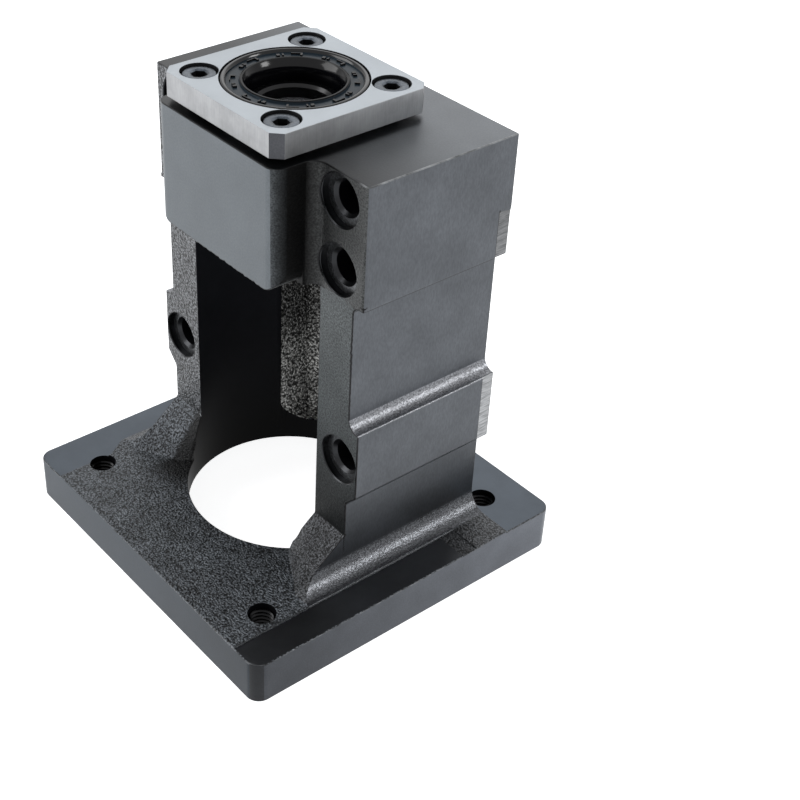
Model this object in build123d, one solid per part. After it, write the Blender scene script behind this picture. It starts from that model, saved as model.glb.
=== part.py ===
"""Motor bracket with a fixed-side ball-screw bearing head.

A cast-iron bracket carries a ball screw's fixed end in its head and a servo motor on its
bottom flange, with an open bay between them for the shaft coupling. The screw axis is +Z.
The origin is on the screw axis, in the motor face. The mounting face looks along +Y and
the open side of the bay along -Y. All sizes are in millimetres.
"""
import math
import os

from build123d import *

# Casting, overall
total_h = 106.0             # motor face to the top of the head
flange_w = 88.0             # motor flange along X
flange_d = 85.0             # motor flange along Y
flange_t = 10.5             # machined thickness of the flange
flange_corner_r = 3.2
cast_skin = 0.4             # rough cast top of the flange above its machined strips

# Bearing head
head_w = 70.0
head_h = 27.0
shoulder_y = 10.0           # screw axis to the front shoulders
mount_y = 28.0              # screw axis to the mounting face
boss_w = 40.0
boss_y = 20.0               # screw axis to the milled front of the boss
boss_corner_r = 3.0
boss_root_r = 3.0
boss_foot_r = 4.0
shoulder_corner_r = 0.8

# Legs between head and flange
leg_w = 64.0                # over the outer sides of the legs
pad_w = 70.0                # over the lower bolt pads
pad_below = 7.0             # lower bolts to the bottom of their pads
pad_above = 9.5
pad_wall = 0.1              # left beside the counterbore's rim
pad_root_r = 2.6
head_root_r = 1.8
pad_foot_r = 1.2
pad_edge_r = 0.3
bay_w = 40.8                # cast bay, between its side walls
bay_back_y = 23.5
bay_corner_r = 3.0
bay_floor_r = 5.0
coupling_bore_d = 48.0      # machined clearance bore through bay and flange

# Gussets and root fillets on the flange
gusset_top_z = 21.0
gusset_inner_y = 15.7       # screw axis to the toe beside the coupling bore
gusset_outer_y = 23.5       # screw axis to the toe at the leg's outer side
gusset_inner_x = 19.5
root_r = 4.7

# Machined strips on top of the flange
strip_left_x = 33.5
strip_left_run = 5.0        # length of the left strip's slanting end, before the gusset
strip_right_x = 36.5
strip_right_end_y = 14.5

# Reference edge on the right side, for setting the bracket against a stop
datum_depth = 0.2
datum_h = 3.2
datum_runout_r = 9.0

# Motor interface
pilot_d = 70.0
pilot_depth = 5.0
motor_pcd = 90.0
motor_tap_d = 5.0           # M6 core diameter
motor_tap_mouth_d = 6.1

# Mounting bolts, M6 from the front through to the mounting face
bolt_hole_d = 6.6
counterbore_d = 11.0        # shallow seat for the bolt head
counterbore_depth = 1.7
counterbore_chamfer = 0.2
bolt_hole_chamfer = 0.7
head_bolt_spacing = 54.0
head_bolt_drop = 6.0        # top of the head to the upper bolts
head_bolt_pitch_z = 15.0
leg_bolt_z = 40.0

# Bearings: two angular-contact bearings, face to face
shaft_d = 15.0
bearing_od = 32.0
bearing_w = 9.0
pitch_d = 23.5
ball_d = 4.762
ball_count = 11
contact_deg = 30.0
groove_ratio = 1.04
ball_gap = 0.02
inner_shoulder_r = 10.35
inner_relief_r = 9.7
outer_shoulder_r = 13.1
outer_relief_r = 13.8
race_chamfer = 0.4
cage_in_r = 10.9
cage_out_r = 12.6
cage_w = 7.4
cage_play = 0.15

# Collars, seals and the cap
collar_od = 20.0
upper_collar_h = 4.0
lower_collar_h = 9.5
collar_chamfer = 0.6       # at the end the seal is pushed over
collar_edge = 0.2          # at the end against the inner ring
seat_lip_h = 1.5            # casting lip under the lower bearing
seat_lip_r = 13.5
lower_seal_h = 5.0
upper_seal_h = 7.0
seal_od = 30.0
seal_wall = 1.6
seal_web = 1.3
seal_edge = 0.7             # bevel round the face, and lip tip to the back
seal_sink_ring = 0.45       # depth of the ring sunk between wall and rim
seal_tabs = 8
seal_tab_w = 2.2
lip_gap = 0.1
lip_thick = 1.1
rim_r = 10.9
garter_wire_r = 0.7
garter_lift = 0.3
cap_w = 38.0
cap_t = 5.3
cap_gap = 1.2               # left between cap and head when the bearings are clamped
cap_chamfer = 2.1
cap_lip_r = 12.9
seal_sink = 0.3
spigot_play = 0.05          # radial, in the bearing seat
ring_play = 0.01            # radial, outer rings in the seat

# Cap screws, M4 low head
screw_spacing = 27.0
screw_d = 4.0
screw_head_d = 7.0
screw_head_h = 2.8
screw_len = 12.0
screw_play = 0.25
socket_af = 3.0
socket_depth = 1.7
socket_mouth = 0.3
head_edge = 0.3
shank_edge = 0.5
screw_sink = 0.5
screw_cut_d = 7.8
tap_play = 0.03
tap_depth = 10.5

# Places along the screw axis
head_bottom = total_h - head_h
seat_bottom = head_bottom + lower_seal_h + seat_lip_h
lower_bearing_z = seat_bottom
upper_bearing_z = lower_bearing_z + bearing_w
stack_top = upper_bearing_z + bearing_w
cap_bottom = total_h + cap_gap
cap_top = cap_bottom + cap_t
upper_seal_top = cap_top - seal_sink
flange_top = flange_t + cast_skin
lower_collar_bottom = lower_bearing_z - lower_collar_h

# Half sizes used for the outlines
head_x = head_w / 2
leg_x = leg_w / 2
pad_x = pad_w / 2
pad_bottom_z = leg_bolt_z - pad_below
pad_top_z = leg_bolt_z + pad_above
leg_bolt_x = pad_x - pad_wall - counterbore_d / 2 - counterbore_chamfer
boss_x = boss_w / 2
bay_x = bay_w / 2
bore_r = coupling_bore_d / 2
motor_hole = motor_pcd / 2 / math.sqrt(2)
screw_at = screw_spacing / 2


def block(x0, x1, y0, y1, z0, z1):
    """A box between two corners."""
    solid = Box(x1 - x0, y1 - y0, z1 - z0)
    return Pos((x0 + x1) / 2, (y0 + y1) / 2, (z0 + z1) / 2) * solid


def rod(radius, z0, z1, x=0.0, y=0.0):
    """A cylinder along Z."""
    return Pos(x, y, (z0 + z1) / 2) * Cylinder(radius, z1 - z0)


def rod_y(radius, y0, y1, x, z):
    """A cylinder along Y."""
    return Pos(x, (y0 + y1) / 2, z) * Rot(90, 0, 0) * Cylinder(radius, y1 - y0)


def cone_y(r0, r1, y0, y1, x, z):
    """A cone along Y, of radius r0 at y0 and r1 at y1."""
    return Pos(x, (y0 + y1) / 2, z) * Rot(-90, 0, 0) * Cone(r0, r1, y1 - y0)


def turned(points, radii=None):
    """A ring turned about the Z axis from (radius, z) points."""
    corners = [(r, 0, z) for r, z in points]
    if radii is None:
        line = Polyline(*corners, close=True)
    else:
        line = FilletPolyline(*corners, radius=radii, close=True)
    return revolve(make_face(line), Axis.Z, 360)


def across_y(points, y0, y1, radii=None):
    """A prism along Y from (x, z) points."""
    corners = [(x, y0, z) for x, z in points]
    if radii is None:
        line = Polyline(*corners, close=True)
    else:
        line = FilletPolyline(*corners, radius=radii, close=True)
    return extrude(make_face(line), amount=y1 - y0, dir=(0, 1, 0))


def both_sides(solid):
    """A solid and its mirror image on the other side of the screw axis."""
    return [solid, mirror(solid, about=Plane.YZ)]


def corners_of(half_x, half_y):
    """The four corners of a rectangle about the screw axis."""
    return [(sx * half_x, sy * half_y) for sx in (-1, 1) for sy in (-1, 1)]


def mounting_bolts():
    """Places (x, z) of the six mounting bolts."""
    upper_z = total_h - head_bolt_drop
    places = []
    for side in (-1, 1):
        places.append((side * head_bolt_spacing / 2, upper_z))
        places.append((side * head_bolt_spacing / 2, upper_z - head_bolt_pitch_z))
        places.append((side * leg_bolt_x, leg_bolt_z))
    return places


def flange_plate():
    """The motor flange, with its rough cast top."""
    plan = RectangleRounded(flange_w, flange_d, flange_corner_r)
    return extrude(plan, amount=flange_top)


def head_block():
    """The bearing head: a block with a boss on its front, which runs over the bay."""
    plan = FilletPolyline(
        (-head_x, mount_y), (-head_x, -shoulder_y), (-boss_x, -shoulder_y), (-boss_x, -boss_y),
        (boss_x, -boss_y), (boss_x, -shoulder_y), (head_x, -shoulder_y), (head_x, mount_y),
        radius=[0, shoulder_corner_r, boss_root_r, boss_corner_r, boss_corner_r, boss_root_r,
                shoulder_corner_r, 0],
        close=True,
    )
    block_up = Pos(0, 0, head_bottom) * extrude(make_face(plan), amount=head_h)
    face = [(-head_x - 1, total_h + 1), (head_x + 1, total_h + 1), (head_x + 1, head_bottom)]
    face += [(-head_x - 1, head_bottom)]
    foot = [(-boss_x, total_h + 1), (boss_x, total_h + 1), (boss_x, head_bottom)]
    foot += [(-boss_x, head_bottom)]
    keep = across_y(face, -shoulder_y, mount_y + 1)
    keep += across_y(foot, -boss_y - 1, -shoulder_y, [0, 0, boss_foot_r, boss_foot_r])
    fillets = block(-head_x, head_x, -shoulder_y - boss_root_r, -shoulder_y, head_bottom, total_h)
    return block_up & (keep + fillets)


def leg_column():
    """Both legs as one outline across the mounting face, with the pads of the lower bolts."""
    side = [
        (leg_x, 0), (leg_x, pad_bottom_z - (pad_x - leg_x)), (pad_x, pad_bottom_z),
        (pad_x, pad_top_z), (leg_x, pad_top_z), (leg_x, head_bottom), (head_x, head_bottom),
        (head_x, head_bottom + 1),
    ]
    radii = [0, pad_foot_r, pad_foot_r, pad_edge_r, pad_root_r, head_root_r, 0, 0]
    left = [(-x, z) for x, z in reversed(side)]
    return across_y(side + left, -shoulder_y, mount_y, radii + radii[::-1])


def gusset():
    """The ramp in front of the right leg, steep beside the bore and shallow outside."""
    def triangle(x, toe):
        return make_face(Polyline((x, -shoulder_y + 1, 0), (x, -shoulder_y + 1, gusset_top_z),
                                  (x, -shoulder_y, gusset_top_z), (x, -toe, flange_t), (x, -toe, 0),
                                  close=True))
    return loft([triangle(gusset_inner_x, gusset_inner_y), triangle(leg_x, gusset_outer_y)], ruled=True)


def root_fillet():
    """The cast fillet between the right leg, its gusset and the flange."""
    far_x = leg_x + root_r
    top_z = flange_top + root_r
    middle = (far_x - root_r * math.cos(math.pi / 4), top_z - root_r * math.sin(math.pi / 4))
    front = -gusset_outer_y
    with BuildLine() as line:
        Polyline((leg_x, front, top_z), (leg_x, front, 0), (far_x, front, 0), (far_x, front, flange_top))
        ThreePointArc((far_x, front, flange_top), (middle[0], front, middle[1]), (leg_x, front, top_z))
    strip = extrude(make_face(line.line), amount=mount_y - front, dir=(0, 1, 0))
    slope = Polyline(
        (leg_x, -gusset_outer_y, 0), (leg_x, -gusset_outer_y, flange_t),
        (leg_x, -shoulder_y, gusset_top_z), (leg_x, mount_y, gusset_top_z), (leg_x, mount_y, 0),
        close=True,
    )
    return strip & extrude(make_face(slope), amount=root_r, dir=(1, 0, 0))


def bay():
    """What the core and the boring bar leave empty between the legs."""
    core = block(-bay_x, bay_x, -flange_d, bay_back_y, flange_top, head_bottom)
    back = core.edges().filter_by(Axis.Z).group_by(Axis.Y)[-1]
    core = fillet(back, bay_corner_r)
    floor = core.faces().sort_by(Axis.Z)[0].edges()
    front_y = core.bounding_box().min.Y
    floor = [edge for edge in floor if edge.center().Y > front_y + 1]
    core = fillet(floor, bay_floor_r)
    above_front = block(-bay_x, bay_x, -flange_d, -bore_r, flange_top, head_bottom)
    return core + above_front + rod(bore_r, pilot_depth, head_bottom)


def bolt_cuts():
    """The six counterbored mounting holes."""
    cuts = []
    for x, z in mounting_bolts():
        mouth_r = counterbore_d / 2
        floor_y = counterbore_depth - shoulder_y
        rim_y = counterbore_chamfer - shoulder_y
        cuts.append(rod_y(bolt_hole_d / 2, -boss_y - 1, mount_y + 1, x, z))
        cuts.append(rod_y(mouth_r, -boss_y - 1, floor_y, x, z))
        cuts.append(cone_y(mouth_r + counterbore_chamfer, mouth_r, -shoulder_y, rim_y, x, z))
        cone_end = floor_y + bolt_hole_chamfer
        cuts.append(cone_y(bolt_hole_d / 2 + bolt_hole_chamfer, bolt_hole_d / 2, floor_y, cone_end, x, z))
    return cuts


def bearing_cuts():
    """The bearing seat, the lip below it, the lower seal's seat and the cap's tapped holes."""
    cuts = [
        rod(bearing_od / 2 + ring_play, seat_bottom, total_h + 1),
        rod(seat_lip_r, head_bottom - 1, seat_bottom),
        rod(seal_od / 2, head_bottom - 1, head_bottom + lower_seal_h),
    ]
    for x, y in corners_of(screw_at, screw_at):
        cuts.append(rod(screw_d / 2 + tap_play, total_h - tap_depth, total_h + 1, x, y))
    return cuts


def motor_cuts():
    """The pilot recess and the four M6 holes in the motor flange."""
    cuts = [rod(pilot_d / 2, -1, pilot_depth)]
    tap_r = motor_tap_d / 2
    mouth_r = motor_tap_mouth_d / 2
    for x, y in corners_of(motor_hole, motor_hole):
        cuts.append(rod(tap_r, -1, flange_top + 1, x, y))
        cuts.append(Pos(x, y, (mouth_r - tap_r) / 2) * Cone(mouth_r, tap_r, mouth_r - tap_r))
        spot = Pos(x, y, flange_t - (mouth_r - tap_r) / 2) * Cone(tap_r, mouth_r, mouth_r - tap_r)
        cuts += [spot, rod(mouth_r, flange_t, flange_top + 1, x, y)]
    return cuts


def strip_cuts():
    """The machined strips at the sides and the back of the flange's rough top."""
    edge_x = flange_w / 2 + 1
    edge_y = flange_d / 2 + 1
    top = flange_top + root_r
    root_x = leg_x + root_r
    end_y = -gusset_outer_y - strip_left_run
    left = Polyline((-edge_x, -edge_y, flange_t), (-strip_left_x, -edge_y, flange_t),
                    (-strip_left_x, end_y, flange_t), (-root_x, -gusset_outer_y, flange_t),
                    (-root_x, edge_y, flange_t), (-edge_x, edge_y, flange_t), close=True)
    return [
        extrude(make_face(left), amount=top - flange_t, dir=(0, 0, 1)),
        block(strip_right_x, edge_x, -edge_y, strip_right_end_y, flange_t, top),
        block(-edge_x, edge_x, mount_y, edge_y, flange_t, top),
    ]


def datum_cuts():
    """The milled reference edge along the right side, next to the mounting face."""
    edge_y = mount_y - datum_h
    cutter = Pos(head_x - datum_depth + datum_runout_r, edge_y + datum_h / 2, 0)
    straight = block(head_x - datum_depth, head_x + 1, edge_y, mount_y + 1, head_bottom - 1,
                     head_bottom + datum_runout_r)
    lower = block(pad_x - datum_depth, pad_x + 1, edge_y, mount_y + 1, pad_bottom_z - 1, pad_top_z + 1)
    end = cutter * Pos(0, 0, head_bottom + datum_runout_r) * Rot(90, 0, 0)
    end = end * Cylinder(datum_runout_r, datum_h + 2)
    return [straight, lower, end & block(head_x - 1, head_x + 1, edge_y, mount_y + 1, head_bottom, total_h)]


def bracket():
    """The whole casting after machining."""
    solid = flange_plate() + leg_column() + head_block()
    for piece in both_sides(gusset()) + both_sides(root_fillet()):
        solid += piece
    for cut in [bay()] + bearing_cuts() + bolt_cuts() + motor_cuts() + strip_cuts() + datum_cuts():
        solid -= cut
    return solid


def cap():
    """The steel cap that clamps the outer rings and carries the upper seal."""
    bottom = stack_top
    plate = block(-cap_w / 2, cap_w / 2, -cap_w / 2, cap_w / 2, cap_bottom, cap_top)
    plate = chamfer(plate.edges().filter_by(Axis.Z), cap_chamfer)
    plate += rod(bearing_od / 2 - spigot_play, bottom, cap_bottom + 0.1)
    plate -= rod(seal_od / 2, upper_seal_top - upper_seal_h, cap_top + 1)
    plate -= rod(cap_lip_r, bottom - 1, cap_top)
    for x, y in corners_of(screw_at, screw_at):
        plate -= rod(screw_cut_d / 2, cap_top - screw_head_h - screw_sink, cap_top + 1, x, y)
        plate -= rod(screw_d / 2 + screw_play, cap_bottom - 1, cap_top, x, y)
    return plate


def cap_screw(x, y):
    """One low-head M4 socket screw, seated in the cap's counterbore."""
    top = cap_top - screw_sink
    seat = top - screw_head_h
    head_r = screw_head_d / 2
    shank_r = screw_d / 2
    end = seat - screw_len
    body = turned([
        (0, end), (shank_r - shank_edge, end), (shank_r, end + shank_edge), (shank_r, seat),
        (head_r, seat), (head_r, top - head_edge), (head_r - head_edge, top), (0, top),
    ])
    socket = extrude(RegularPolygon(socket_af / 2, 6, major_radius=False), amount=socket_depth + 1)
    cone = Cone(socket_af / 2 + 1.5 * socket_mouth, socket_af / 2, socket_mouth)
    body -= Pos(0, 0, top - socket_depth) * socket
    body -= Pos(0, 0, top - socket_mouth / 2) * Rot(180, 0, 0) * cone
    return Pos(x, y, 0) * body


def ball_bearing(bottom, contact_up):
    """One angular-contact bearing: outer ring, inner ring, cage and balls, from its lower face.

    contact_up is True where the outer ring takes the thrust towards +Z.
    """
    middle = bearing_w / 2
    ball_r = ball_d / 2
    pitch_r = pitch_d / 2
    groove_r = ball_r * groove_ratio
    offset = groove_r - ball_r - ball_gap
    angle = math.radians(contact_deg)
    out = (pitch_r - offset * math.cos(angle), middle - offset * math.sin(angle))
    inn = (pitch_r + offset * math.cos(angle), middle + offset * math.sin(angle))

    def race(bore, land_low, land_high, centre):
        """A ring between its bore or outer face and two lands, with the ball groove."""
        c = race_chamfer if bore > pitch_r else -race_chamfer
        ring = turned([
            (land_low, 0), (bore - c, 0), (bore, race_chamfer), (bore, bearing_w - race_chamfer),
            (bore - c, bearing_w), (land_high, bearing_w), (land_high, middle), (land_low, middle),
        ])
        return ring - Pos(0, 0, centre[1]) * Torus(centre[0], groove_r)

    outer = race(bearing_od / 2, outer_relief_r, outer_shoulder_r, out)
    inner = race(shaft_d / 2, inner_shoulder_r, inner_relief_r, inn)
    cage = turned([
        (cage_in_r, middle - cage_w / 2), (cage_out_r, middle - cage_w / 2),
        (cage_out_r, middle + cage_w / 2), (cage_in_r, middle + cage_w / 2),
    ])
    balls = []
    for number in range(ball_count):
        turn = Rot(0, 0, number * 360 / ball_count)
        cage -= turn * Pos(pitch_r, 0, middle) * Rot(0, 90, 0) * Cylinder(ball_r + cage_play, ball_d)
        balls.append(turn * Pos(pitch_r, 0, middle) * Sphere(ball_r))
    pieces = [outer, inner, cage] + balls
    if not contact_up:
        pieces = [Pos(0, 0, bearing_w) * mirror(piece, about=Plane.XY) for piece in pieces]
    pieces = [Pos(0, 0, bottom) * piece for piece in pieces]
    return pieces[0], pieces[1], pieces[2], pieces[3:]


def collar(bottom, height, seal_at_top):
    """The ring that the seal lip runs on, between the inner ring and the screw or its nut."""
    low = collar_edge if seal_at_top else collar_chamfer
    high = collar_chamfer if seal_at_top else collar_edge
    return turned([
        (shaft_d / 2 + low, bottom), (collar_od / 2 - low, bottom), (collar_od / 2, bottom + low),
        (collar_od / 2, bottom + height - high), (collar_od / 2 - high, bottom + height),
        (shaft_d / 2 + high, bottom + height), (shaft_d / 2, bottom + height - high),
        (shaft_d / 2, bottom + low),
    ])


def oil_seal(height):
    """A rubber shaft seal, face up, from z = 0 down to -height, with its garter spring."""
    outer = seal_od / 2
    lip = collar_od / 2 + lip_gap
    wall = outer - seal_wall
    tip = -height + seal_edge
    spring_z = tip + garter_wire_r + garter_lift
    lip_back = lip + lip_thick
    mouth = lip + garter_lift
    body = turned([
        (outer, -height), (outer, -seal_edge), (outer - seal_edge, 0), (wall + garter_lift, 0),
        (wall, -seal_sink_ring), (rim_r + 0.5, -seal_sink_ring), (rim_r, 0), (mouth, 0),
        (mouth, -1.5), (lip, tip + 0.9), (mouth, tip), (lip_back, tip), (lip_back, -seal_web),
        (wall, -seal_web), (wall, -height),
    ])
    for number in range(seal_tabs):
        tab = block(rim_r + 1.15, wall - 0.75, -seal_tab_w / 2, seal_tab_w / 2, -0.5, -0.05)
        body += Rot(0, 0, (number + 0.5) * 360 / seal_tabs) * tab
    spring = Pos(0, 0, spring_z) * Torus(lip_back + garter_wire_r, garter_wire_r)
    return body, spring


def save(node, solids):
    """Writes one node's solids."""
    shape = solids if not isinstance(solids, list) else Compound(children=solids)
    export_step(shape, f"parts/{node}.step")


def main():
    os.makedirs("parts", exist_ok=True)
    save("bracket_casting", bracket())
    save("bearing_cap", cap())
    for number, (x, y) in enumerate(corners_of(screw_at, screw_at)):
        save(f"cap_screw_{number + 1}", cap_screw(x, y))

    for name, bottom, contact_up in (
        ("upper", upper_bearing_z, True),
        ("lower", lower_bearing_z, False),
    ):
        outer, inner, cage, balls = ball_bearing(bottom, contact_up)
        save(f"{name}_bearing_outer_ring", outer)
        save(f"{name}_bearing_inner_ring", inner)
        save(f"{name}_bearing_cage", cage)
        save(f"{name}_bearing_balls", balls)

    save("upper_collar", collar(stack_top, upper_collar_h, True))
    save("lower_collar", collar(lower_collar_bottom, lower_collar_h, False))

    seal, spring = oil_seal(upper_seal_h)
    place = Pos(0, 0, upper_seal_top)
    save("upper_oil_seal", place * seal)
    save("upper_garter_spring", place * spring)
    seal, spring = oil_seal(lower_seal_h)
    place = Pos(0, 0, head_bottom) * Rot(180, 0, 0)
    save("lower_oil_seal", place * seal)
    save("lower_garter_spring", place * spring)


main()
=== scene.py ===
import math

import bmesh
import bpy
from mathutils import Matrix, Vector, noise


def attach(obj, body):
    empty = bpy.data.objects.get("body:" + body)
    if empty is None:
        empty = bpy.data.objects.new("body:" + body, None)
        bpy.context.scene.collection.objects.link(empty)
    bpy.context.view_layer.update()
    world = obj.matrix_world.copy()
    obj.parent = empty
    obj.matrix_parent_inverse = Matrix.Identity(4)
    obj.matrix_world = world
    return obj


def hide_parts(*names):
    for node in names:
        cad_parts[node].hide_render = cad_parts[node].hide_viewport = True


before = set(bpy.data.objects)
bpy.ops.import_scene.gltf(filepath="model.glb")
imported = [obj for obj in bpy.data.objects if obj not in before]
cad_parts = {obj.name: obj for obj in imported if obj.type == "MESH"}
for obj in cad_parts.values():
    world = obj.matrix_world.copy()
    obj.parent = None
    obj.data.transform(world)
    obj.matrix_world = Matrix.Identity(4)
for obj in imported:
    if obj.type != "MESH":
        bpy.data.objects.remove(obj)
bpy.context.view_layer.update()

# Camera. It looks down on the bracket from the front right, from about three object heights away.
# The picture is framed a little off the lens axis, which the two shifts carry.
camera = bpy.data.objects.new("camera", bpy.data.cameras.new("camera"))
bpy.context.scene.collection.objects.link(camera)
camera.data.lens = 67.434
camera.data.sensor_width = 36.0
camera.data.shift_x = 0.125
camera.data.shift_y = -0.0375
camera.data.clip_start = 0.01
camera.location = (0.216451, -0.168047, 0.233966)
camera.rotation_euler = (math.radians(55.0192), math.radians(-0.7213), math.radians(52.2808))
bpy.context.scene.camera = camera

# Floor and room. A plain white sheet without an edge in view, which only keeps the soft shadow.
# The room itself is pale grey, and white where the camera or a polished surface looks past the part.
WHITE = (1.0, 1.0, 1.0, 1.0)
MM = 0.001


def shader_node(tree, kind, *inputs, **settings):
    """A node with its first sockets set or linked in order, None leaving one as it is."""
    node = tree.nodes.new(kind)
    for name, value in settings.items():
        setattr(node, name, value)
    for socket, value in zip(node.inputs, inputs):
        if isinstance(value, bpy.types.NodeSocket):
            tree.links.new(value, socket)
        elif value is not None:
            socket.default_value = value
    return node


def looking_past(tree):
    """1 for camera, glossy and transmission rays, 0 for the rays that light the part."""
    rays = tree.nodes.new("ShaderNodeLightPath")
    first = shader_node(tree, "ShaderNodeMath", rays.outputs["Is Camera Ray"], rays.outputs["Is Glossy Ray"],
                        operation="MAXIMUM")
    return shader_node(tree, "ShaderNodeMath", first.outputs[0], rays.outputs["Is Transmission Ray"],
                       operation="MAXIMUM").outputs[0]


sheet = bmesh.new()
bmesh.ops.create_grid(sheet, x_segments=1, y_segments=1, size=3.0)
floor_mesh = bpy.data.meshes.new("floor")
sheet.to_mesh(floor_mesh)
sheet.free()
floor = bpy.data.objects.new("floor", floor_mesh)
bpy.context.scene.collection.objects.link(floor)

paper = bpy.data.materials.new("white_paper")
paper.use_nodes = True
tree = paper.node_tree
tree.nodes.clear()
matt = shader_node(tree, "ShaderNodeBsdfDiffuse", (0.80, 0.80, 0.81, 1.0))
glow = shader_node(tree, "ShaderNodeEmission", WHITE, 0.90)
both = shader_node(tree, "ShaderNodeAddShader", matt.outputs[0], glow.outputs[0])
seen = shader_node(tree, "ShaderNodeMixShader", looking_past(tree), matt.outputs[0], both.outputs[0])
shader_node(tree, "ShaderNodeOutputMaterial", seen.outputs[0])
floor_mesh.materials.append(paper)

room = bpy.context.scene.world or bpy.data.worlds.new("room")
bpy.context.scene.world = room
room.use_nodes = True
tree = room.node_tree
tree.nodes.clear()
pale = shader_node(tree, "ShaderNodeBackground", (0.92, 0.96, 1.0, 1.0), 0.40)
backdrop = shader_node(tree, "ShaderNodeBackground", WHITE, 1.0)
seen = shader_node(tree, "ShaderNodeMixShader", looking_past(tree), pale.outputs[0], backdrop.outputs[0])
shader_node(tree, "ShaderNodeOutputWorld", seen.outputs[0])

# Studio lamps. A large soft box at the left front, one behind at the left that the head's top reflects,
# and a small one behind at the right, which draws the bright lines along the cast fillets.
for name, place, size, watts in (
    ("softbox_front", (-0.60, -0.75, 0.62), 0.7, 7.5),
    ("softbox_behind", (-0.62, 0.58, 0.74), 0.8, 2.2),
    ("lamp_right", (0.78, 0.60, 0.68), 0.3, 4.0),
):
    lamp = bpy.data.objects.new(name, bpy.data.lights.new(name, "AREA"))
    lamp.data.size = size
    lamp.data.energy = watts
    lamp.location = place
    lamp.rotation_euler = (Vector(place) - Vector((0, 0, 0.06))).to_track_quat("Z", "Y").to_euler()
    bpy.context.scene.collection.objects.link(lamp)


# Bracket casting. One iron casting: sand-cast skin on flange, gussets and leg fronts, milled and
# blackened faces on head, sides and strips, and a bored bay. The head's right top edge is worn bright.
def metal(name, colour, roughness, metallic=0.9, tint=0.1, cloud=11.0, grain=None, depth=0.0, along=(1, 1, 1),
          pits=0.0, pebbles=0.0, specular=0.5, fade=None, near=None):
    """A finish in mm: a colour that wanders in clouds, over a relief of the given grain and depth.

    pits darkens the hollows and lightens the crests, and pebbles rounds them into lumps. fade is a
    direction, the places along it where the colour starts and stops growing, and its share at the start.
    near is the same with a point and the distances from it. With both, the larger share counts.
    """
    material = bpy.data.materials.new(name)
    material.use_nodes = True
    tree = material.node_tree
    tree.nodes.clear()

    def scaled(vector, share):
        """The vector times a share that differs from place to place."""
        node = shader_node(tree, "ShaderNodeVectorMath", vector, operation="SCALE")
        tree.links.new(share, node.inputs["Scale"])
        return node.outputs[0]

    place = tree.nodes.new("ShaderNodeTexCoord")
    inmm = shader_node(tree, "ShaderNodeMapping", place.outputs["Object"], None, None, (1000, 1000, 1000))
    wander = shader_node(tree, "ShaderNodeTexNoise", inmm.outputs[0], None, 1 / cloud, 5.0, 0.6)
    ramp = shader_node(tree, "ShaderNodeValToRGB", wander.outputs[0])
    for stop, place_on, share in zip(ramp.color_ramp.elements, (0.36, 0.64), (1 - tint, 1 + tint)):
        stop.position = place_on
        stop.color = tuple(min(1.0, c * share) for c in colour) + (1.0,)
    colour_out = ramp.outputs[0]
    shader = tree.nodes.new("ShaderNodeBsdfPrincipled")
    shader.inputs["Metallic"].default_value = metallic
    shader.inputs["Roughness"].default_value = roughness
    shader.inputs["Specular IOR Level"].default_value = specular
    if grain:
        drawn = shader_node(tree, "ShaderNodeMapping", inmm.outputs[0], None, None, along)
        fine = shader_node(tree, "ShaderNodeTexNoise", drawn.outputs[0], None, 1 / grain, 2.0, 0.6)
        height = fine.outputs[0]
        if pebbles:
            lumps = shader_node(tree, "ShaderNodeTexVoronoi", drawn.outputs[0], None, 0.9 / grain,
                                feature="F1")
            sunk = shader_node(tree, "ShaderNodeMath", lumps.outputs["Distance"], -pebbles, 0.45 * pebbles,
                               operation="MULTIPLY_ADD")
            height = shader_node(tree, "ShaderNodeMath", height, sunk.outputs[0], operation="ADD").outputs[0]
        if pits:
            share = shader_node(tree, "ShaderNodeMapRange", height, 0.34, 0.66, 1 - pits, 1 + pits)
            colour_out = scaled(colour_out, share.outputs[0])
        relief = tree.nodes.new("ShaderNodeBump")
        relief.inputs["Distance"].default_value = depth * MM
        tree.links.new(height, relief.inputs["Height"])
        tree.links.new(relief.outputs[0], shader.inputs["Normal"])
    shares = []
    for measure, given in (("DOT_PRODUCT", fade), ("DISTANCE", near)):
        if given:
            vector, start, stop, first = given
            reach = shader_node(tree, "ShaderNodeVectorMath", inmm.outputs[0], vector, operation=measure)
            share = shader_node(tree, "ShaderNodeMapRange", reach.outputs["Value"], start, stop, first, 1.0)
            shares.append(share.outputs[0])
    if shares:
        larger = shader_node(tree, "ShaderNodeMath", shares[0], shares[-1], operation="MAXIMUM")
        colour_out = scaled(colour_out, larger.outputs[0])
    tree.links.new(colour_out, shader.inputs["Base Color"])
    shader_node(tree, "ShaderNodeOutputMaterial", shader.outputs[0])
    return material


LEAST_ANGLE, LEAST_BLEND_ANGLE = math.radians(50), math.radians(12)


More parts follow.
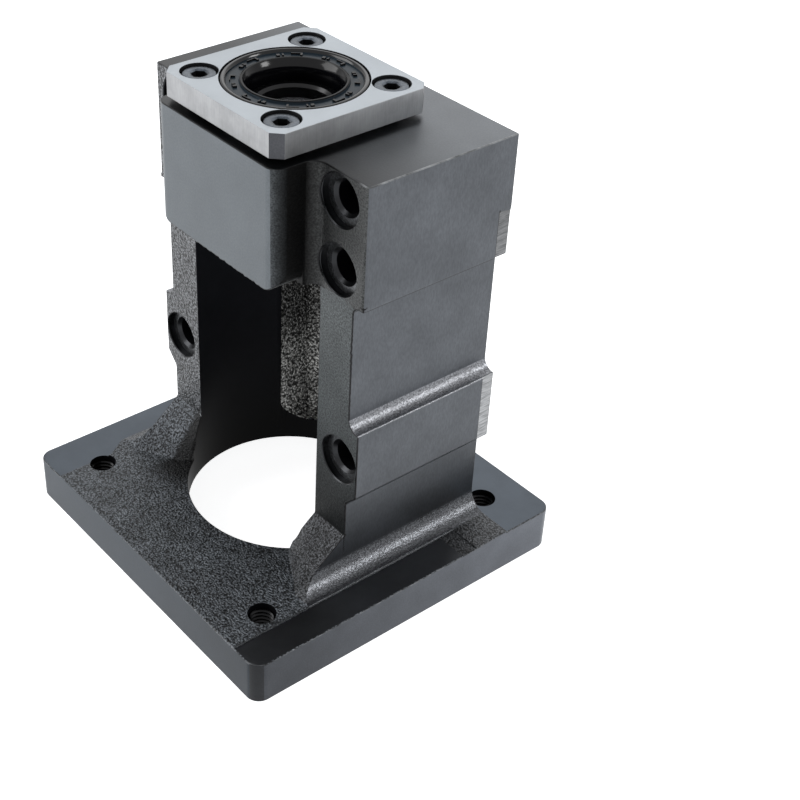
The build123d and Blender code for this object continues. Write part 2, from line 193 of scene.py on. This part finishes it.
def merged_copy(node, edge, blend=None):
    """A merged copy of a CAD node, with its sharp outer edges rounded. Returns it and the new edge faces.

    blend is a function that gives the width of a softer rounding for some edges, or 0.
    """
    shape = bmesh.new()
    shape.from_mesh(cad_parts[node].data)
    bmesh.ops.remove_doubles(shape, verts=shape.verts, dist=0.002 * MM)
    widths = {}
    for e in shape.edges:
        if blend and len(e.link_faces) == 2 and e.calc_face_angle() > LEAST_BLEND_ANGLE and blend(e):
            widths.setdefault(blend(e), []).append(e)
    for width, soft in widths.items():
        bmesh.ops.bevel(shape, geom=soft, offset=width, offset_type="OFFSET", segments=4, affect="EDGES",
                        profile=0.5, material=-1, clamp_overlap=True, loop_slide=False)
    keen = [e for e in shape.edges if len(e.link_faces) == 2 and e.is_convex
            and e.calc_face_angle() > LEAST_ANGLE]
    rounded = bmesh.ops.bevel(shape, geom=keen, offset=edge, offset_type="OFFSET", segments=2, affect="EDGES",
                              profile=0.5, material=-1, clamp_overlap=False, loop_slide=False)
    return shape, set(rounded["faces"])


def paint(shape, finishes, choose):
    """Gives each face of a bmesh its finish: choose tells the word that the face has in finishes."""
    order = list(finishes)
    for face in shape.faces:
        face.material_index = order.index(choose(face))


def finished(shape, name, body, materials, replaces=(), smooth_angle=35.0, weighted=False):
    """Makes a bmesh a piece at the origin, smooth except across sharp edges, riding on a body."""
    for face in shape.faces:
        face.smooth = True
    for e in shape.edges:
        e.smooth = len(e.link_faces) != 2 or e.calc_face_angle() < math.radians(smooth_angle)
    mesh = bpy.data.meshes.new(name)
    shape.to_mesh(mesh)
    shape.free()
    for material in materials:
        mesh.materials.append(material)
    piece = bpy.data.objects.new(name, mesh)
    bpy.context.scene.collection.objects.link(piece)
    if weighted:
        even = piece.modifiers.new("even_normals", "WEIGHTED_NORMAL")
        even.keep_sharp = True
        even.weight = 100
    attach(piece, body)
    if replaces:
        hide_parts(*replaces)


# The milled oxide and the sand cast come in lit and shaded copies: their base colours and fades paint the
# light and shade that each face shows.
casting_finishes = {
    # Milled sides: the fade darkens them towards the bottom, painted shade for the dark flange that they
    # reflect.
    "milled": metal("milled_oxide", (0.082, 0.088, 0.097), 0.36, tint=0.10, grain=0.42, depth=0.015,
                    along=(1, 1, 0.4), pits=0.10, fade=((0, 0, 1), 14, 44, 0.58)),
    # Head top: the fade darkens it towards the front, painted shade of the cap.
    "top": metal("milled_top_painted_shade", (0.088, 0.095, 0.104), 0.36, tint=0.06, grain=0.4, depth=0.010, pits=0.08,
                 fade=((0.25, 1, 0), -2, 25, 0.16)),
    # Boss front: the milled oxide made lighter, painted light where it faces the front soft box.
    "front": metal("milled_front_painted_light", (0.115, 0.127, 0.137), 0.44, tint=0.05, grain=0.4, depth=0.012, pits=0.08),
    # Boss corners: the fade darkens them towards the right side, painted shade.
    "corner": metal("cast_corner", (0.112, 0.122, 0.130), 0.44, grain=0.36, depth=0.08, pits=0.45, tint=0.15,
                    cloud=3.0, fade=((-1, 0, 0), -19.9, -16.0, 0.08)),
    # Boss sides: near black, painted shade between the boss and the shoulders.
    "side_dark": metal("boss_side_painted_shade", (0.006, 0.006, 0.006), 0.42, metallic=0.5, grain=0.5, depth=0.06,
                       pits=0.4, specular=0.1),
    # Sand cast: fade and near darken the left gusset towards the bay, painted shade where it slopes away from
    # the light.
    "cast": metal("sand_cast", (0.074, 0.081, 0.090), 0.33, metallic=0.5, grain=0.43, depth=0.36, pits=0.88,
                  pebbles=0.5, specular=0.4, tint=0.22, cloud=6.0, fade=((-1, 0, 0), 22.7, 24.0, 0.06),
                  near=((-19.5, -14, 14), 7.5, 12.5, 0.06)),
    # Right gusset: the sand cast made darker, painted shade.
    "gusset": metal("sand_cast_slope_painted_shade", (0.050, 0.052, 0.056), 0.33, metallic=0.5, grain=0.43, depth=0.36,
                    pits=0.95, pebbles=0.5, specular=0.4, tint=0.22, cloud=6.0),
    "patch": metal("sand_cast_patch", (0.066, 0.069, 0.074), 0.33, metallic=0.5, grain=0.43, depth=0.25,
                   pits=0.8, pebbles=0.5, specular=0.4, tint=0.15, cloud=6.0, fade=((0, 1, 0), 16, 26, 0.6)),
    # Left leg front: the sand cast made lighter, painted light from the front soft box.
    "cast_light": metal("sand_cast_painted_light", (0.100, 0.104, 0.110), 0.33, metallic=0.6, grain=0.50, depth=0.36,
                        pits=0.95, pebbles=0.5, specular=0.4, tint=0.15, cloud=6.0),
    # Bay pocket: the cast skin made light, painted light falling into the bay, and lighter still low down as
    # painted light on the upward fillet.
    "coarse": metal("core_cast_painted_light", (0.330, 0.330, 0.322), 0.30, metallic=0.9, grain=0.56, depth=0.5, pits=0.85,
                    pebbles=0.6, specular=0.3, tint=0.1, fade=((0, 0, -1), -39, -29, 0.42)),
    # Right shoulder front: the fade darkens it towards the boss, painted shade of the boss.
    "fine": metal("fine_cast", (0.052, 0.054, 0.054), 0.42, metallic=0.8, grain=0.40, depth=0.10, pits=0.55,
                  tint=0.12, fade=((1, 0, 0), 20.1, 23.4, 0.16)),
    "fine_leg": metal("fine_cast_leg", (0.064, 0.071, 0.073), 0.42, metallic=0.8, grain=0.40, depth=0.08,
                      pits=0.55, tint=0.12, fade=((0, 0, 1), 20, 52, 0.20)),
    # Pad fillet: a light band, painted highlight where the fillet faces up into the light.
    "pad_band": metal("fine_cast_pad_painted_highlight", (0.190, 0.195, 0.208), 0.36, grain=0.36, depth=0.08, pits=0.5,
                      tint=0.1),
    "band": metal("fine_cast_root", (0.078, 0.081, 0.087), 0.27, grain=0.36, depth=0.08, pits=0.6, tint=0.1),
    # Bay bore: near black with hardly any sheen, partly its blackened finish and partly painted shade inside
    # the bay; the fade darkens it further towards the bottom as painted shade.
    "bored": metal("bored_oxide_and_painted_shade", (0.030, 0.031, 0.037), 0.42, metallic=0.0, specular=0.04,
                   fade=((0, 0, 1), 10, 70, 0.04)),
    # Right strip: the milled finish made dark, painted dark reflection of the surroundings, darker still
    # towards the back.
    "strip": metal("milled_strip_painted_shade", (0.056, 0.058, 0.063), 0.32, tint=0.12, grain=0.4, depth=0.008,
                   fade=((0, -1, 0), 0, 38, 0.74)),
    # Left strip, pilot and mounting faces: the milled finish made lighter than the right strip, painted
    # light.
    "light": metal("milled_painted_light", (0.061, 0.071, 0.084), 0.40, grain=0.5, depth=0.010, tint=0.08),
    # Flange's front corner: the milled finish made near black, painted shade.
    "flange_corner": metal("milled_corner_painted_shade", (0.020, 0.021, 0.023), 0.38, grain=0.4, depth=0.010, pits=0.08),
    # Flange's front face: the milled finish made dark, and the fade darkens it towards the front corner,
    # painted shade.
    "flange_front": metal("milled_end_painted_shade", (0.028, 0.037, 0.048), 0.38, tint=0.08, grain=0.4, depth=0.010,
                          pits=0.08, fade=((-1, 0, 0), -44, 13, 0.62)),
    # Flange's right side: the fade darkens it towards the front corner, painted shade.
    "flange_side": metal("milled_side_painted_shade", (0.110, 0.119, 0.136), 0.38, tint=0.12, grain=0.4, depth=0.010,
                         pits=0.10, fade=((0, 1, 0), -42, 40, 0.35)),
    "ground": metal("ground_back", (0.26, 0.265, 0.27), 0.34, metallic=1.0, grain=0.30, depth=0.012,
                    tint=0.06, along=(0.1, 0.1, 1), pits=0.35, fade=((0, 0, -1), -90, -50, 0.42)),
    # Counterbore walls and bearing seat: dark, partly oxide and partly painted shade inside the holes.
    "drilled": metal("drilled_oxide_and_painted_shade", (0.024, 0.025, 0.027), 0.30, grain=0.5, depth=0.01),
    # Counterbore seats: lighter than the walls, painted light against the shade at the foot of the
    # counterbores.
    "seat": metal("spot_faced_painted_light", (0.090, 0.094, 0.098), 0.34, grain=0.4, depth=0.02, pits=0.4, tint=0.3,
                  cloud=2.0),
    # Holes: near black, painted shade inside them.
    "hole": metal("hole_painted_shade", (0.004, 0.004, 0.005), 0.40, metallic=0.2, specular=0.1),
    "worn": metal("worn_edge", (0.145, 0.150, 0.155), 0.38, grain=0.5, depth=0.02, cloud=4.5, tint=0.55,
                  fade=((1, 0, 0), 32.0, 34.6, 0.12)),
    "rubbed": metal("rubbed_edge", (0.085, 0.089, 0.094), 0.38, grain=0.5, depth=0.02, cloud=2.2, tint=0.75),
    # Edges away from the top and the flange: a dark line, painted shade.
    "edge_dark": metal("painted_shade_edge", (0.016, 0.016, 0.017), 0.40, metallic=0.5, cloud=2.0, tint=0.5,
                       specular=0.2),
}
# Where the casting's forms lie, in mm: planes, radii, and the middles of the bolts from x = 0 and z = 0.
LEG_X, HEAD_X, SHOULDER_Y, MOUNT_Y = 32.0, 35.0, -10.0, 28.0
BOSS_X, BOSS_Y, BOSS_R = 20.0, -20.0, 3.0
STRIP_Z, SKIN_Z, GUSSET_Z, HEAD_Z, TOP_Z = 10.5, 10.9, 21.0, 79.0, 106.0
STRIP_X, STRIP_END_Y, PAD_FOOT_Z, FLANGE_INSIDE = 36.5, 14.5, (48, 53), 38
BAY_R, BAY_HALF_X, BAY_BACK_Y, SEAT_R = 24.0, 20.5, 23.6, 17.0
PILOT_R, PILOT_DEPTH, ROOT_R = 35.2, 5.1, 4.7
DATUM_X, DATUM_Y, DATUM_TOP = (34.6, 34.95), 24.6, 91
BOLTS, BOLT_R, COUNTERBORE_R = ((27, 100), (27, 85), (29.2, 40)), 3.35, 5.75
MOTOR_HOLE, MOTOR_HOLE_R = 31.82, 3.2


def face_word(face):
    """Which finish a face of the casting has, from where it lies and which way it looks."""
    x, y, z = (c / MM for c in face.calc_center_median())
    n = face.normal
    radius = math.hypot(x, y)
    for bolt_x, bolt_z in BOLTS:
        off = math.hypot(abs(x) - bolt_x, z - bolt_z)
        if off < COUNTERBORE_R and SHOULDER_Y + 0.02 < y < MOUNT_Y - 0.1:
            return "hole" if off < BOLT_R else "seat" if n.y < -0.9 else "drilled"
    if math.hypot(abs(x) - MOTOR_HOLE, abs(y) - MOTOR_HOLE) < MOTOR_HOLE_R and z < STRIP_Z + 0.3:
        return "hole"

    # The head's top, the motor face with its pilot, the bearing seat, the mounting face.
    if z > TOP_Z - 0.7 and x > HEAD_X - 0.7 and 0.05 < n.z < 0.98:
        return "worn"
    if z > TOP_Z - 0.1:
        return "top"
    if z < 0.5 or (z < PILOT_DEPTH and radius < PILOT_R):
        return "light"
    if z > HEAD_Z and radius < SEAT_R:
        return "drilled"
    if y > MOUNT_Y - 0.1 and n.y > 0.5:
        return "light"
    if DATUM_X[0] < x < DATUM_X[1] and y > DATUM_Y and n.x > 0.5 and z < DATUM_TOP:
        return "ground"

    # The flange's sides and its milled strips, then the bay with its pocket.
    if z < STRIP_Z - 0.1 and abs(n.z) < 0.7 and max(abs(x), abs(y)) > FLANGE_INSIDE:
        if n.x > 0.3 and n.y < -0.3:
            return "flange_corner"
        return "flange_front" if n.y < -0.5 else "flange_side"
    if abs(z - STRIP_Z) < 0.06 and n.z > 0.9:
        return "strip" if x > 30 and y < STRIP_END_Y + 0.1 else "light"
    if abs(radius - BAY_R) < 0.1 and abs(n.z) < 0.5 and z < HEAD_Z:
        return "bored"
    if z < HEAD_Z - 0.1 and abs(x) < BAY_HALF_X and y < BAY_BACK_Y:
        return "coarse" if y > -12 and z > SKIN_Z + 0.05 else "cast"

    # The boss with its corners and fillets, and the fronts of the head and the legs.
    if y < BOSS_Y + 0.35 and n.y < -0.7:
        return "front"
    if z > HEAD_Z - 0.1 and abs(x) < BOSS_X + BOSS_R + 0.5 and y < SHOULDER_Y + 0.02:
        if x < -16 or n.z < -0.5:
            return "fine_leg"
        return "corner" if y < BOSS_Y + BOSS_R + 0.1 else "side_dark" if x < BOSS_X + 0.05 else "fine"
    if y < SHOULDER_Y + 0.3 and n.y < -0.5 and z > GUSSET_Z:
        return "cast_light" if x < 0 else "fine" if z > HEAD_Z else "fine_leg"

    # The flange's rough top, the legs' sides with the fillets at pad and root, and the gussets.
    rough = "patch" if x > STRIP_X - 0.5 and y > 10 else "cast"
    if z < SKIN_Z + 0.05 and n.z > 0.995:
        return rough
    if abs(abs(x) - LEG_X) < 0.3 and abs(n.x) > 0.98 and z > 11:
        return "milled"
    if abs(x) > LEG_X and n.z > 0.02 and PAD_FOOT_Z[0] < z < PAD_FOOT_Z[1]:
        return "pad_band"
    if 0 < abs(x) - LEG_X < ROOT_R and n.z > 0.02 and z < SKIN_Z + 0.1 + ROOT_R and n.y > -0.2:
        return "band"
    if z > SKIN_Z + 0.1 + ROOT_R and abs(x) > LEG_X - 0.3:
        return "milled"
    return "gusset" if rough == "cast" and z > SKIN_Z + 0.1 and x > 0 else rough


def soft_edge(e):
    """The width of the blend at a gusset's crease with the leg or the flange, or 0."""
    on_crease = []
    for v in e.verts:
        x, y, z = v.co / MM
        inside = 19.3 < abs(x) < LEG_X + 0.05
        on_crease.append(inside and (abs(z - GUSSET_Z) < 0.05 and abs(y - SHOULDER_Y) < 0.05
                                     or abs(z - SKIN_Z) < 0.05 and -23.6 < y < -15))
    return 1.6 * MM if all(on_crease) and not e.is_convex and e.calc_length() > 3 * MM else 0


casting, edge_faces = merged_copy("bracket_casting", 0.25 * MM, blend=soft_edge)
EDGE_SHOWS = ("milled", "top", "front", "light", "strip", "flange_side", "flange_front", "fine", "fine_leg")


def casting_word(face):
    """The finish of a face, or of the edge that a face of the rounding is: worn at the top, rubbed at the
    flange, and elsewhere a dark line of painted shade.
    """
    word = face_word(face)
    if face in edge_faces and word in EDGE_SHOWS:
        height = face.calc_center_median().z / MM
        return "worn" if height > TOP_Z - 0.3 else "rubbed" if height < SKIN_Z + 0.1 else "edge_dark"
    return word


paint(casting, casting_finishes, casting_word)
thread_core, thread_major, thread_pitch = 2.5 * MM, 3.02 * MM, 1.0 * MM
tapped_holes = [Vector((sx * MOTOR_HOLE * MM, sy * MOTOR_HOLE * MM, 0)) for sx in (-1, 1) for sy in (-1, 1)]
for hole in tapped_holes:
    wall = [v for v in casting.verts if abs((v.co.xy - hole.xy).length - thread_core) < 0.05 * MM]
    widen = thread_major / thread_core
    bmesh.ops.scale(casting, vec=(widen, widen, 1), space=Matrix.Translation(-hole), verts=wall)

# The cutter that milled the right strip left a soft run-out at its end.
RUN_OUT = 4.0 * MM
for v in casting.verts:
    x, y, z = v.co / MM
    if x > STRIP_X - 0.3 and abs(y - STRIP_END_Y) < 0.4 and z > STRIP_Z + 0.1:
        v.co.y += RUN_OUT

# The lower front edge of the boss is ragged where the core's flash was broken off, and so is the
# right leg's front edge where the mould halves met.
def on_boss_edge(co):
    """Whether a point lies on the boss's lower front edge."""
    return abs(co.z / MM - HEAD_Z) < 0.3 and co.y / MM < BOSS_Y + 0.4 and abs(co.x / MM) < 16.5


def on_leg_edge(co):
    """Whether a point lies on the right leg's front edge, above the pad."""
    return (co.xy / MM - Vector((LEG_X, SHOULDER_Y))).length < 0.35 and 52 < co.z / MM < 77.5


for on_edge, cuts in ((on_boss_edge, 60), (on_leg_edge, 50)):
    ragged = [e for e in casting.edges if all(on_edge(v.co) for v in e.verts) and e.calc_length() > 5 * MM]
    bmesh.ops.subdivide_edges(casting, edges=ragged, cuts=cuts, use_grid_fill=True)
RAGGED, NICK, NICK_Z, NICK_REACH, LEG_RAGGED = 0.32, 1.1, 67.2, 1.6, 0.12
for v in casting.verts:
    x, y, z = v.co / MM
    if on_boss_edge(v.co) and abs(x) < 15:
        bite = noise.noise(Vector((x * 1.3, 2.0, 0))) + 0.6 * noise.noise(Vector((x * 3.1, 7.0, 0)))
        v.co.z += RAGGED * MM * bite
    if on_leg_edge(v.co) and 53 < z < 77:
        lump = NICK * math.exp(-((z - NICK_Z) / NICK_REACH) ** 2) + LEG_RAGGED
        v.co.x += lump * MM * noise.noise(Vector((z * 1.9, 4.0, 0)))
        v.co.y -= lump * MM * abs(noise.noise(Vector((z * 1.9, 9.0, 0))))
finished(casting, "bracket_skin", "frame", casting_finishes.values(), ["bracket_casting"],
         weighted=True)


# Threads of the four motor screws. An M6 thread cut in each flange hole, wound by a spin that climbs
# one pitch a turn.
def wind_thread(shape, centre, inner, outer, pitch, low, high, steps=40):
    """Adds a thread between two radii to a bmesh: a narrow flat, a flank out, a narrow flat, a flank in."""
    flat, flank = 0.15 * pitch, 0.35 * pitch
    corners = []
    for turn in range(int((high - low) / pitch) - 1):
        z = low + turn * pitch
        corners += [(inner, z), (inner, z + flat), (outer, z + flat + flank), (outer, z + 2 * flat + flank)]
    corners.append((inner, corners[-1][1] + flank))
    line = [shape.verts.new((centre[0] + r, centre[1], z)) for r, z in corners]
    runs = [shape.edges.new(pair) for pair in zip(line, line[1:])]
    bmesh.ops.spin(shape, geom=line + runs, cent=(centre[0], centre[1], 0), axis=(0, 0, 1),
                   dvec=(0, 0, pitch / steps), angle=math.tau, steps=steps)
    bmesh.ops.remove_doubles(shape, verts=shape.verts, dist=0.004 * MM)


threads = bmesh.new()
for hole in tapped_holes:
    wind_thread(threads, hole, thread_core, thread_major, thread_pitch, low=0.3 * MM, high=10.4 * MM)
bmesh.ops.recalc_face_normals(threads, faces=threads.faces)
# Thread: near black, painted shade inside the tapped holes.
thread_finish = metal("cut_thread_painted_shade", (0.006, 0.006, 0.007), 0.25, metallic=0.5, tint=0.08, specular=0.3)
finished(threads, "motor_threads", "frame", [thread_finish], smooth_angle=25)

# Bearing cap. A square steel plate, milled all over and left bare, with a spigot that clamps the
# outer rings. Its four screw seats are counterbored.
cap_plate = merged_copy("bearing_cap", 0.15 * MM)[0]
cap_finishes = {
    "face": metal("satin_steel", (0.296, 0.320, 0.344), 0.42, metallic=0.85, grain=0.35, depth=0.006,
                  along=(1, 0.06, 1), tint=0.04),
    "side": metal("brushed_side", (0.29, 0.294, 0.300), 0.38, metallic=0.9, grain=0.30, depth=0.006,
                  along=(1, 1, 0.08), pits=0.05, tint=0.12, cloud=5.0),
    "cut_corner": metal("milled_chamfer", (0.060, 0.062, 0.068), 0.40, grain=0.3, depth=0.01, pits=0.1),
    # Screw seats and seal bore: dark, painted shade in the gaps round the screw heads and the seal.
    "seat": metal("screw_seat_painted_shade", (0.030, 0.030, 0.032), 0.35, metallic=0.6, specular=0.2),
}
SCREW_TOP, SCREW_AT, SCREW_SEAT_R, SEAL_BORE_R, CAP_TOP = 112.0, 13.5, 3.97, 15.05, 112.5


def cap_word(face):
    """Which finish a face of the cap has."""
    x, y, z = face.calc_center_median() / MM
    n = face.normal
    from_screw = math.hypot(abs(x) - SCREW_AT, abs(y) - SCREW_AT)
    # Faces inside the counterbores and the seal bore take the dark seat finish, painted shade.
    if z < CAP_TOP - 0.05 and (from_screw < SCREW_SEAT_R or math.hypot(x, y) < SEAL_BORE_R):
        return "seat"
    return "cut_corner" if min(abs(n.x), abs(n.y)) > 0.5 else "side" if abs(n.z) < 0.5 else "face"


paint(cap_plate, cap_finishes, cap_word)
finished(cap_plate, "cap_skin", "frame", cap_finishes.values(), ["bearing_cap"], weighted=True)


# Cap screws. M4 low-head socket screws in black oxide, turned, with a broached hexagon and a rolled
# thread, sunk half a millimetre below the cap's face.
def turn_profile(shape, corners, steps):
    """Turns (radius, z) corners in mm about the screw axis into a closed skin."""
    line = [shape.verts.new((r * MM, 0, z * MM)) for r, z in corners]
    runs = [shape.edges.new(pair) for pair in zip(line, line[1:])]
    bmesh.ops.spin(shape, geom=line + runs, cent=(0, 0, 0), axis=(0, 0, 1), angle=math.tau, steps=steps,
                   use_merge=True)


SOCKET_R, SOCKET_REACH, SOCKET_Z, SOCKET_SIDE_CUTS, MOUTH_R = 1.73, 1.8, -0.25, 7, 2.05
screw_finishes = {
    "head": metal("black_oxide", (0.054, 0.063, 0.076), 0.32, grain=0.3, depth=0.02, pits=0.3, tint=0.2),
    # Sockets: near black, painted shade inside the hexagons.
    "socket": metal("socket_painted_shade", (0.008, 0.008, 0.009), 0.4, metallic=0.2, specular=0.1),
}


def in_socket(co):
    """Whether a point of a screw that stands at the origin is inside the hexagon's outer circle."""
    return co.xy.length < SOCKET_REACH * MM


for number, (side, front) in enumerate(((-1, -1), (-1, 1), (1, -1), (1, 1)), start=1):
    screw = bmesh.new()
    turn_profile(screw, [
        (MOUTH_R, 0), (3.18, 0), (3.4, -0.08), (3.5, -0.32), (3.5, -2.8), (1.99, -2.8),
    ], steps=48)
    mouth = [e for e in screw.edges
             if all(v.co.z > -0.01 * MM and v.co.xy.length < (MOUTH_R + 0.05) * MM for v in e.verts)]
    place = Matrix.Translation((0, 0, SOCKET_Z * MM)) @ Matrix.Rotation(0.3, 4, "Z")
    hexagon = bmesh.ops.create_circle(screw, segments=6, radius=SOCKET_R * MM, matrix=place)
    sides = list({e for v in hexagon["verts"] for e in v.link_edges})
    bmesh.ops.subdivide_edges(screw, edges=sides, cuts=SOCKET_SIDE_CUTS)
    ring = [e for e in screw.edges
            if all(abs(v.co.z - SOCKET_Z * MM) < 1e-7 and in_socket(v.co) for v in e.verts)]
    bmesh.ops.bridge_loops(screw, edges=mouth + ring)
    for drop, shrink in ((-1.45, 1.0), (-0.4, 0.02)):
        wall = bmesh.ops.extrude_edge_only(screw, edges=ring)
        lowered = [g for g in wall["geom"] if isinstance(g, bmesh.types.BMVert)]
        bmesh.ops.translate(screw, vec=(0, 0, drop * MM), verts=lowered)
        bmesh.ops.scale(screw, vec=(shrink, shrink, 1), verts=lowered)
        ring = [g for g in wall["geom"] if isinstance(g, bmesh.types.BMEdge)]
    for face in screw.faces:
        middle = face.calc_center_median()
        face.material_index = int(middle.z < (SOCKET_Z - 0.05) * MM and in_socket(middle))
    wind_thread(screw, (0, 0), inner=1.62 * MM, outer=2.0 * MM, pitch=0.7 * MM, low=-14.7 * MM,
                high=-2.9 * MM, steps=24)
    bmesh.ops.recalc_face_normals(screw, faces=screw.faces)
    seat = Vector((side * SCREW_AT, front * SCREW_AT, SCREW_TOP)) * MM
    bmesh.ops.translate(screw, vec=seat, verts=screw.verts)
    finished(screw, f"socket_screw_{number}", "frame", screw_finishes.values(),
             [f"cap_screw_{number}"], smooth_angle=30)

# Oil seals. Moulded nitrile rings, pressed in at both ends of the bearing seat, with a ring of
# raised marks on the face, and a lip that a coiled garter spring holds to the collar. The upper one
# has a raised rim, and its lip reaches further in.
nitrile = {
    "body": metal("nitrile", (0.003, 0.003, 0.004), 0.16, metallic=0.0, tint=0.1, specular=0.05),
    "face": metal("nitrile_face", (0.016, 0.025, 0.034), 0.30, metallic=0.0, tint=0.2, grain=0.8, depth=0.01,
                  specular=0.08),
    "lip": metal("nitrile_lip", (0.003, 0.003, 0.004), 0.14, metallic=0.0, tint=0.1, specular=0.22),
    "mark": metal("nitrile_marks", (0.004, 0.004, 0.005), 0.20, metallic=0.0, tint=0.1, specular=0.1),
    "rim": metal("nitrile_rim", (0.004, 0.004, 0.005), 0.13, metallic=0.0, tint=0.1, specular=0.30),
}


RIM_R, FACE_R, LIP_R = 13.7, 10.95, 10.4


def rubber_word(face):
    """Which finish a face of a seal has, while the seal's face lies at z = 0."""
    middle = face.calc_center_median() / MM
    radius, z = middle.xy.length, middle.z
    if radius > RIM_R and z > -0.29:
        return "rim"
    if 11.7 < radius < 13.3 and -0.45 < z < 0:
        return "mark"
    return "face" if FACE_R < radius < RIM_R and z > -0.6 else "lip" if radius < LIP_R and z > -4 else "body"


spring_wire = metal("spring_wire", (0.5, 0.5, 0.51), 0.3, metallic=1.0)
# Each mark has an inner and an outer radius in mm, and a start and a sweep in degrees.
MARKS = ((11.8, 12.9, 0.0, 2.0), (12.7, 12.9, 2.0, 9.0), (11.8, 12.6, 18.0, 1.6), (11.8, 12.6, 22.0, 3.2))
MARK_SETS, MARK_FOOT, MARK_TOP = 8, -0.55, -0.12
COIL_TURNS, COIL_STEPS, WIRE_R, COIL_R, SPRING_R = 190, 8, 0.13, 0.57, 11.93
for name, height, face_z, up, lip, bead in (
    ("upper", 7.0, 112.2, 1, 0.85, 0.26),
    ("lower", 5.0, 79.0, -1, 0.0, -0.03),
):
    tip = 0.7 - height
    seal = bmesh.new()
    turn_profile(seal, [
        (13.4, -height), (15.0, -height), (15.0, -0.75), (14.78, -0.3), (14.72, 0.33 * bead),
        (14.6, 0.66 * bead), (14.42, 0.92 * bead), (14.2, bead), (13.97, 0.75 * bead), (13.78, 0.0),
        (13.64, -0.3), (13.55, -0.5), (11.5 - lip / 2, -0.5), (11.36 - lip / 2, -0.14),
        (11.12 - lip / 2, 0.0), (10.76 - lip / 2, -0.03), (10.52 - 0.32 * lip, -0.25),
        (10.42 - 0.56 * lip, -0.7), (10.4 - 1.15 * lip, -1.5), (10.38 - 1.17 * lip, -2.3),
        (10.3 - 0.6 * lip, -3.3), (10.12, tip + 0.9), (10.4, tip), (11.2, tip),
        (11.25, -1.4), (13.3, -1.4), (13.4, -height),
    ], steps=120)
    for step in range(MARK_SETS):
        for inner, outer, start, sweep in MARKS:
            corners = [(inner, MARK_FOOT), (outer, MARK_FOOT), (outer, MARK_TOP), (inner, MARK_TOP)]
            turn = Matrix.Rotation(math.radians(start + 360 / MARK_SETS * step), 4, "Z")
            face = seal.faces.new([seal.verts.new(turn @ Vector((r * MM, 0, z * MM))) for r, z in corners])
            bmesh.ops.spin(seal, geom=[face] + list(face.edges) + list(face.verts), cent=(0, 0, 0),
                           axis=(0, 0, 1), angle=math.radians(sweep), steps=4)
    bmesh.ops.remove_doubles(seal, verts=seal.verts, dist=0.001 * MM)
    bmesh.ops.recalc_face_normals(seal, faces=seal.faces)
    paint(seal, nitrile, rubber_word)

    # The spring is wound straight along y, and then bent into a ring.
    coil = bmesh.new()
    loop = bmesh.ops.create_circle(coil, segments=6, radius=WIRE_R * MM,
                                   matrix=Matrix.Translation((COIL_R * MM, 0, 0)))
    wire = loop["verts"] + list({e for v in loop["verts"] for e in v.link_edges})
    steps = COIL_TURNS * COIL_STEPS
    bmesh.ops.spin(coil, geom=wire, cent=(0, 0, 0), axis=(0, 1, 0), angle=math.tau * COIL_TURNS, steps=steps,
                   dvec=(0, math.tau * SPRING_R * MM / steps, 0))
    for v in coil.verts:
        angle, out = v.co.y / (SPRING_R * MM), SPRING_R * MM + v.co.x
        v.co = Vector((out * math.cos(angle), out * math.sin(angle), v.co.z + (tip + 1.0) * MM))
    bmesh.ops.remove_doubles(coil, verts=coil.verts, dist=0.002 * MM)
    bmesh.ops.recalc_face_normals(coil, faces=coil.faces)
    for part in (seal, coil):
        if up < 0:
            bmesh.ops.rotate(part, verts=part.verts, cent=(0, 0, 0),
                             matrix=Matrix.Rotation(math.pi, 3, "X"))
        bmesh.ops.translate(part, vec=(0, 0, face_z * MM), verts=part.verts)
    finished(seal, f"{name}_seal_rubber", "frame", nitrile.values(), [f"{name}_oil_seal"])
    finished(coil, f"{name}_spring_coil", "frame", [spring_wire], [f"{name}_garter_spring"],
             smooth_angle=80)

# Collars. Steel rings in black oxide that the lips run on, each with its large chamfer at the open
# end. The upper one's bore is ground bright towards the inner ring.
collar_black = metal("collar_black", (0.010, 0.010, 0.011), 0.2, metallic=0.6)
ground_bore = metal("ground_bore", (0.72, 0.72, 0.73), 0.22, metallic=1.0, tint=0.03)
BORE_R, COLLAR_R = 7.5, 10
for name, low, high, below, above, split, bright_below in (
    ("upper", 103.5, 107.5, 0.2, 0.6, 104.7, 104.7),
    ("lower", 76.0, 85.5, 0.6, 0.2, 79.0, 76.0),
):
    ring = bmesh.new()
    turn_profile(ring, [
        (BORE_R + below, low), (COLLAR_R - below, low), (COLLAR_R, low + below), (COLLAR_R, high - above),
        (COLLAR_R - above, high), (BORE_R + above, high), (BORE_R, high - above), (BORE_R, split),
        (BORE_R, low + below), (BORE_R + below, low),
    ], steps=96)
    bmesh.ops.remove_doubles(ring, verts=ring.verts, dist=0.001 * MM)
    bmesh.ops.recalc_face_normals(ring, faces=ring.faces)
    for face in ring.faces:
        middle = face.calc_center_median()
        face.material_index = int(middle.xy.length < (BORE_R + 0.65) * MM and middle.z < bright_below * MM)
    finished(ring, f"{name}_collar_ring", "rotor", [collar_black, ground_bore],
             [f"{name}_collar"])

# Bearings. Two angular-contact bearings: polished rings, lapped balls, and a moulded nylon cage. They
# keep their meshes, and the cap clamps them into the seat.
ring_steel = metal("ring_steel", (0.6, 0.61, 0.63), 0.2, metallic=1.0, tint=0.03)
ball_steel = metal("ball_steel", (0.75, 0.76, 0.78), 0.08, metallic=1.0, tint=0.02)
cage_nylon = metal("cage_nylon", (0.5, 0.38, 0.2), 0.45, metallic=0.0, tint=0.06, grain=0.5, depth=0.01)
bearing_parts = {"outer_ring": ring_steel, "inner_ring": ring_steel, "balls": ball_steel, "cage": cage_nylon}
for name in ("upper", "lower"):
    for part, material in bearing_parts.items():
        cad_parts[f"{name}_bearing_{part}"].material_slots[0].material = material

bpy.context.scene.view_settings.view_transform = "Standard"
